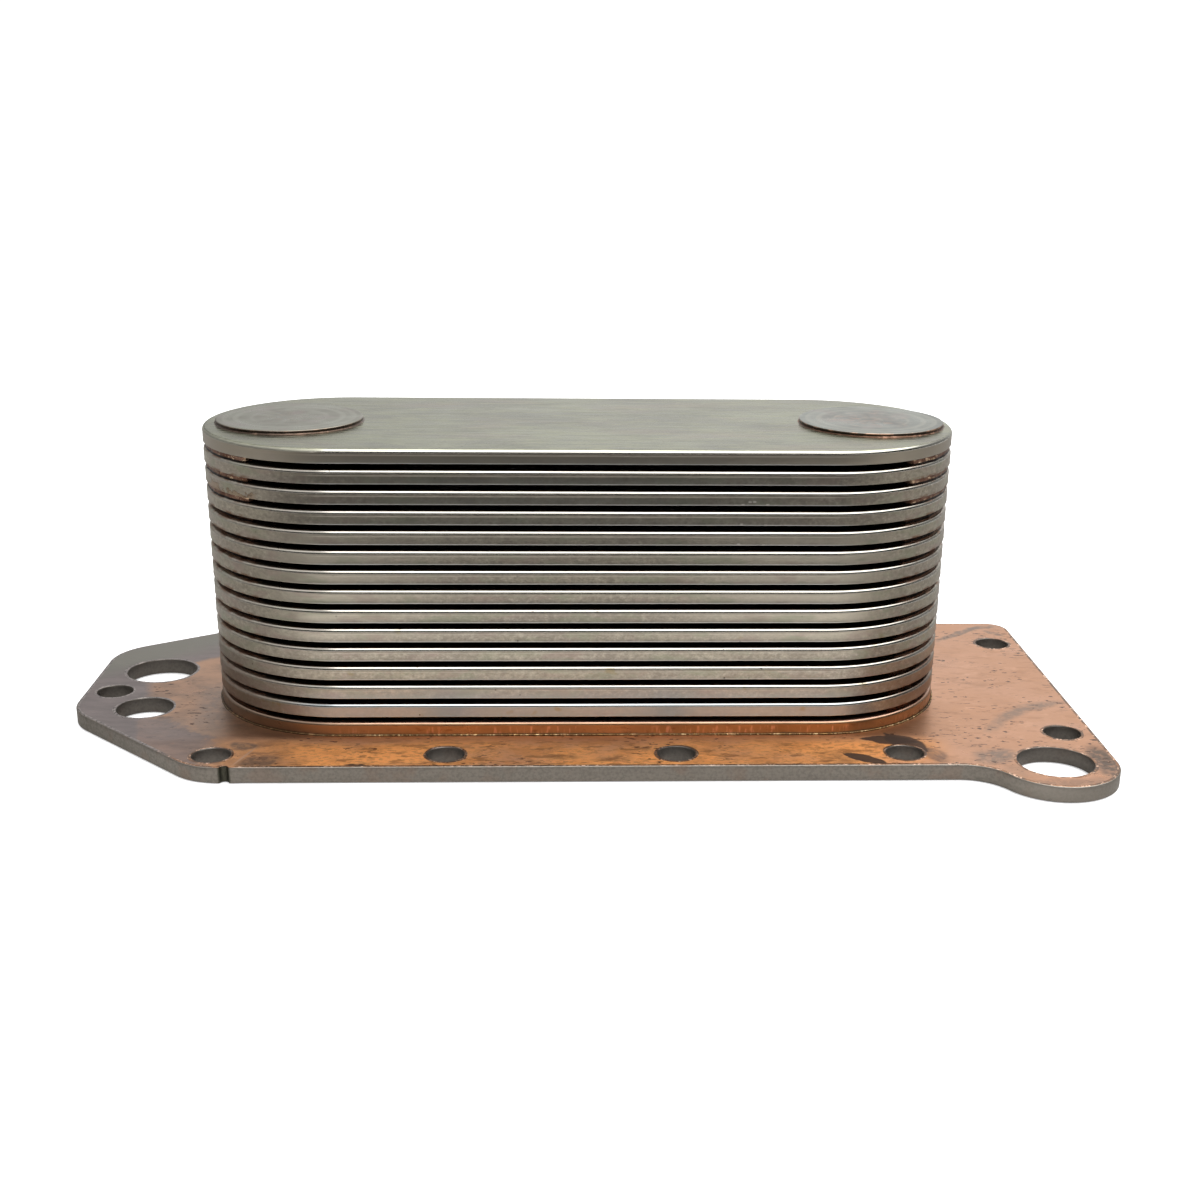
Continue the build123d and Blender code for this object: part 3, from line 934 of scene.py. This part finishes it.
def notch_points():
    """Half-round mark in the front edge, its two corners just broken."""
    corner = 0.4 * MM
    away = math.sqrt((NOTCH_RADIUS + corner) ** 2 - corner ** 2)
    turn = math.degrees(math.atan2(corner, away))
    leave = [(NOTCH_X + (3 + i) * MM, PLATE_FRONT_Y) for i in range(3)]
    points = arc((NOTCH_X - away, PLATE_FRONT_Y + corner), corner, -90, -turn, 0.1 * MM)
    points += arc((NOTCH_X, PLATE_FRONT_Y), NOTCH_RADIUS, 180 - turn, turn, 0.1 * MM)
    points += arc((NOTCH_X + away, PLATE_FRONT_Y + corner), corner, 180 + turn, 270, 0.1 * MM)
    return points + leave


def near_notch(x, y):
    return math.hypot(x - NOTCH_X, y - PLATE_FRONT_Y)


def plate_profile(path, index, hole, seed):
    """Section through the plate's edge, from its top face to its underside."""
    x, y = path.points[index]
    chip = ripple(x, y, 0, 2.4, seed)
    fine = ripple(x, y, 0, 0.9, seed + 6)
    top = PLATE_TOP / MM
    if hole:
        lip = 0.04 + 0.09 * max(0.0, chip + 0.5 * fine)
        wide = 0.75 + 0.35 * ripple(x, y, 0, 4, seed + 12)
        rim = [(1.1, top), (0.8, top + 0.3 * lip), (0.45, top + lip), (0.22, top + 0.5 * lip),
               (0.06, top - 0.12), (0.0, top - 0.35)]
        section = [(inset * wide + 0.05 * fine, z) for inset, z in rim]
        section += [(0.03, top - 2.0), (0.0, 0.35), (0.08, 0.1), (0.28, 0.0)]
    else:
        lip = 0.035 * max(0.0, chip + fine)
        wear = 0.05 * (1 + chip)
        tight = 0.25 + 0.75 * smooth(near_notch(x, y), 1.6 * MM, 4 * MM)
        section = [(0.9, top), (0.65, top + 0.5 * lip), (0.42, top + lip), (0.22 + 0.4 * wear, top - 0.04),
                   (0.07 + 0.3 * wear, top - 0.14), (0.01 + 0.2 * wear, top - 0.32), (0.02, top - 1.3),
                   (0.035, top - 2.6), (0.02, 0.4), (0.06, 0.14), (0.22, 0.0)]
        section = [(inset * tight, z) for inset, z in section]
    return np.array(section) * MM


# places of the plate's materials in its list; its skin of braze comes first
LIP, EDGE, UNDERSIDE, BORE = 1, 2, 3, 4
SKIN_SPACING = 2.6 * MM


def make_plate(materials):
    """Mounting plate with its holes; the skin of braze on it is a little uneven."""
    b = Builder()
    outline = Path(plate_outline(), 0.8 * MM, lambda x, y: 5.0 if near_notch(x, y) < 4 * MM else 1.0)
    slots = [LIP] * 3 + [EDGE] * 7
    rows = b.sweep(outline, lambda i: plate_profile(outline, i, False, 3), slots)
    lipped = [(centre, BOLT_RADIUS) for centre in BOLTS] + PASSAGES
    holes = lipped + [((side * PORT_X, 0.0), OIL_PORT_RADIUS) for side in (-1, 1)]
    tops, bottoms = [], []
    for number, (centre, radius) in enumerate(holes):
        ring = Path(circle(centre, radius)[::-1], 0.45 * MM)
        has_lip = number < len(lipped)
        slots = [LIP] * 3 + [BORE] * 6 if has_lip else None
        edge = b.sweep(ring, lambda i: plate_profile(ring, i, has_lip, 20 + number), slots)
        tops.append(edge[0])
        bottoms.append(edge[-1])
    skin = []
    for x, y in staggered(SKIN_SPACING, range(-50, 51), range(-27, 23)):
        if not inside(outline.points, (x, y)):
            continue
        if np.min(np.hypot(*(outline.points - (x, y)).T)) < SKIN_SPACING:
            continue
        if any(math.dist((x, y), centre) < radius + 2.7 * MM for centre, radius in holes):
            continue
        under_stack = math.hypot(max(abs(x) - END_X, 0), y) < END_RADIUS + 1.5 * MM
        wave = 0.0 if under_stack else (0.05 * ripple(x, y, 0, 16, 7) - 0.02) * MM
        skin.append((x, y, PLATE_TOP + wave))
    b.cap(rows[0], tops, skin)
    b.cap(rows[-1], bottoms, facing=-1, slot=UNDERSIDE)
    b.make("mounting_plate", materials, "base_plate")


# ---- assembly ----

steel, top_material, copper = element_steel(), top_steel(), copper_lid()
for number in range(1, ELEMENT_COUNT + 1):
    make_lid(number, copper if number == 1 else top_material if number == ELEMENT_COUNT else steel)

deep_braze = braze("braze_deep", 0.3)
flush_braze = braze("braze_flush", 1.0)
for side in (-1, 1):
    make_spacers(side, flush_braze, deep_braze)

left_steel = disc_steel("disc_steel_left", -72, (0.285, 0.285, 0.215), (0.21, 0.2, 0.16), 0.25)
right_steel = disc_steel("disc_steel_right", 73, (0.25, 0.265, 0.225), (0.185, 0.19, 0.17), 1.0)
make_disc("left", left_steel, 1)
make_disc("right", right_steel, 2)
left_fillet = braze_fillet("braze_disc_left", (0.12, 0.085, 0.065), (0.3, 0.2, 0.15), 0.3)
right_fillet = braze_fillet("braze_disc_right", (0.13, 0.075, 0.05), (0.34, 0.2, 0.14), 0.6)
seam_fillet = braze_fillet("braze_seam", (0.075, 0.042, 0.02), (0.2, 0.11, 0.055), 0.4)
bead_material = braze_fillet("braze_beads", (0.3, 0.19, 0.08), (0.85, 0.66, 0.38), 0.9)
for side, fillet_material in (("left", left_fillet), ("right", right_fillet)):
    low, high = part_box(f"{side}_end_disc")
    ring = Path(circle(((low.x + high.x) / 2, 0), DISC_RADIUS - 0.02 * MM), 0.5 * MM)
    make_fillet(f"{side}_disc_braze", ring, STACK_TOP, 0.34 * MM, 0.34 * MM, fillet_material, 11)

seam = Path(stadium(END_RADIUS - 0.05 * MM), 0.45 * MM)
make_fillet("seam_braze", seam, PLATE_TOP, 0.42 * MM, 0.6 * MM, seam_fillet, 21)
bead_line = Path(stadium(END_RADIUS + 0.22 * MM), 0.14 * MM)
make_bead_row("seam_beads", bead_line, PLATE_TOP + 0.17 * MM, 0.17 * MM, bead_material, 31)

edge, bore = plate_edge("plate_edge", 0.0), plate_edge("plate_bore", 0.55)
make_plate([plate_copper(), plate_lip(), edge, plate_underside(), bore])

inner, fins = gap_painted_shade(), turbulator_steel()
for number in range(1, ELEMENT_COUNT + 1):
    for kind, material in (("pan", inner), ("turbulator", fins)):
        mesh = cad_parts[f"element_{number:02d}_{kind}"].data
        mesh.materials.clear()
        mesh.materials.append(material)


# ---- floor, light and camera ----

def floor_white():
    """White floor with a faint glow of its own, so that hardly any shadow shows on it."""
    g = Surface("floor_white", metallic=0.0)
    g.colour = (0.8, 0.8, 0.8)
    g.shader.inputs["Emission Color"].default_value = (1, 1, 1, 1)
    g.shader.inputs["Emission Strength"].default_value = 0.45
    return g.finish(0.9)


def fading_card():
    """Card on the floor that only reflections see: pale by the part, dark out in front."""
    g = Surface("card_dark", metallic=0.0)
    g.colour = g.mix((g.away(g.x), 85, 150), (0.66, 0.65, 0.63), (0.24, 0.235, 0.225))
    g.paint((0.012, 0.011, 0.01), (g.y, -132, -188), (g.away(g.x), 420, 190))
    return g.finish(0.9)


def flat_card(name, half, z, material):
    mesh = bpy.data.meshes.new(name)
    corners = [(-half, -half, z), (half, -half, z), (half, half, z), (-half, half, z)]
    mesh.from_pydata(corners, [], [(0, 1, 2, 3)])
    mesh.materials.append(material)
    card = bpy.data.objects.new(name, mesh)
    scene.collection.objects.link(card)
    return card


flat_card("floor", 4, -0.0002, floor_white())
dark_card = flat_card("dark_card", 1.5, -0.0001, fading_card())
dark_card.visible_camera = False
dark_card.visible_shadow = False
dark_card.visible_diffuse = False

# the studio: a soft box overhead, a room that is darker low down in front and at the sides
world = bpy.data.worlds.new("studio")
scene.world = world
sky = Graph(world, "Generated", 1)
overhead = sky.band(sky.minus(sky.z, sky.times(sky.y, 0.1)), 0.55, 0.72)
leaning = sky.math("DIVIDE", sky.x, sky.most(sky.z, 0.05))
softbox = sky.times(overhead, (leaning, -0.26, -0.15))
room = sky.times((sky.x, -0.45, 0.05, 0.34, 1.0), (sky.x, 0.35, 0.8, 1.0, 0.3),
                 (sky.y, -0.35, 0.45, 0.06, 1.0))
low_sky = sky.band(sky.z, 0.6, 0.4)
tone = sky.times(sky.plus(1.0, sky.times(low_sky, sky.minus(room, 1.0))), 0.92)
strength = sky.plus(tone, sky.times(softbox, 2.6))
seen = sky.add("ShaderNodeLightPath").outputs["Is Camera Ray"]
background = world.node_tree.nodes["Background"]
sky.feed(sky.most(strength, sky.times(seen, 1.1)), background.inputs["Strength"])
background.inputs["Color"].default_value = (1, 1, 1, 1)

camera_data = bpy.data.cameras.new("camera")
camera_data.sensor_width = 36
camera_data.lens = 48.08
camera_data.shift_x = -0.0219
camera_data.shift_y = 0.0769
camera_data.clip_start = 0.01
camera = bpy.data.objects.new("camera", camera_data)
scene.collection.objects.link(camera)
scene.camera = camera
CAMERA_PLACE = (-0.0055354, -0.398786, 0.151274)
YAW, PITCH_DOWN, ROLL = 0.04489, 0.35687, -0.01345
right = Vector((math.cos(YAW), -math.sin(YAW), 0))
level_forward = Vector((math.sin(YAW), math.cos(YAW), 0))
forward = math.cos(PITCH_DOWN) * level_forward - Vector((0, 0, math.sin(PITCH_DOWN)))
down = forward.cross(right)
turned_right = math.cos(ROLL) * right + math.sin(ROLL) * down
turned_down = -math.sin(ROLL) * right + math.cos(ROLL) * down
axes = Matrix((turned_right, -turned_down, -forward)).transposed().to_4x4()
camera.matrix_world = Matrix.Translation(CAMERA_PLACE) @ axes

scene.view_settings.view_transform = "Standard"
